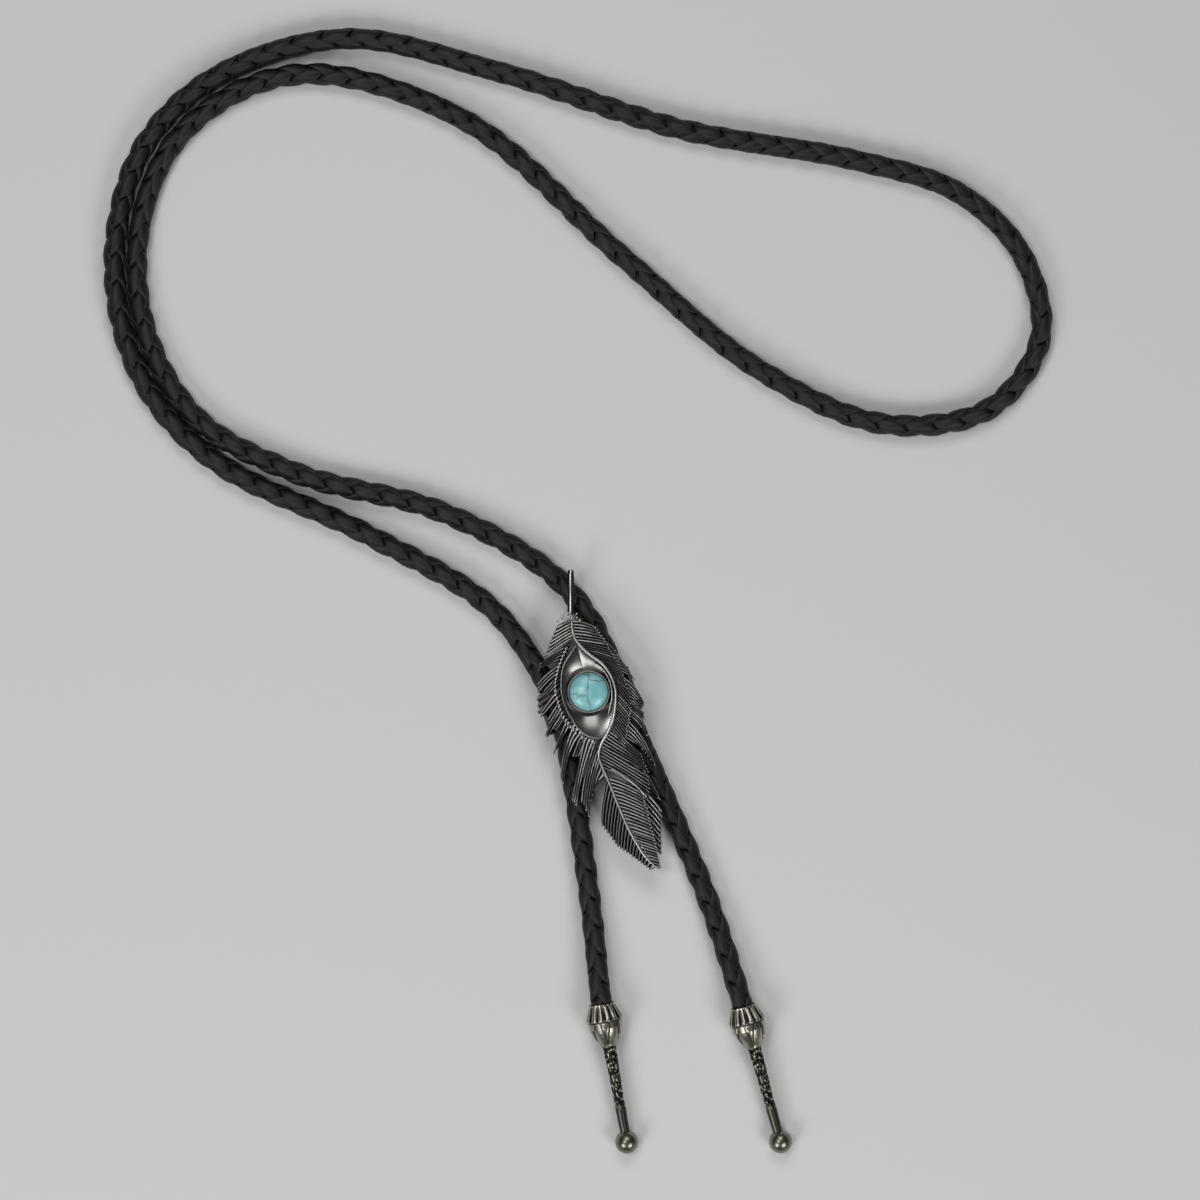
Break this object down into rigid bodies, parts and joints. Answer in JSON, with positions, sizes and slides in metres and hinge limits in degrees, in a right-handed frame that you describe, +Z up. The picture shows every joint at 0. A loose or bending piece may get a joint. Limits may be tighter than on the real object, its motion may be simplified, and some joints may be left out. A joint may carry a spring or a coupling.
{
  "type": "bolo tie",
  "caption": "Bolo tie: a braided leather cord with cast tips, run through a clasp behind a feather slide set with a round turquoise stone.",
  "frame": {"origin": "on the surface the tie lies on, under the centre of the stone, in the flat underside of the clasp", "axes": "+Z up from the surface towards the stone, +Y along the slide from its lower leaf to its quill, +X to the wearer's left as the slide is seen from the front"},
  "size_m": [0.2357, 0.2805, 0.0103],
  "materials": {
    "braided_leather": "satin black, flat plaited strips",
    "antique_silver": "cast white metal with dark recesses and bright worn crests",
    "turquoise": "polished blue-green stone with thin olive-grey veins",
    "clasp_steel": "plain satin sheet metal",
    "tip_metal": "cast white metal, warm dark recesses, polished ball"
  },
  "bodies": {
    "root": {"leather_cord": "braided_leather", "feather_slide": "antique_silver", "turquoise_stone": "turquoise", "cord_clasp": "clasp_steel", "left_tip": "tip_metal", "right_tip": "tip_metal"}
  },
  "joints": []
}
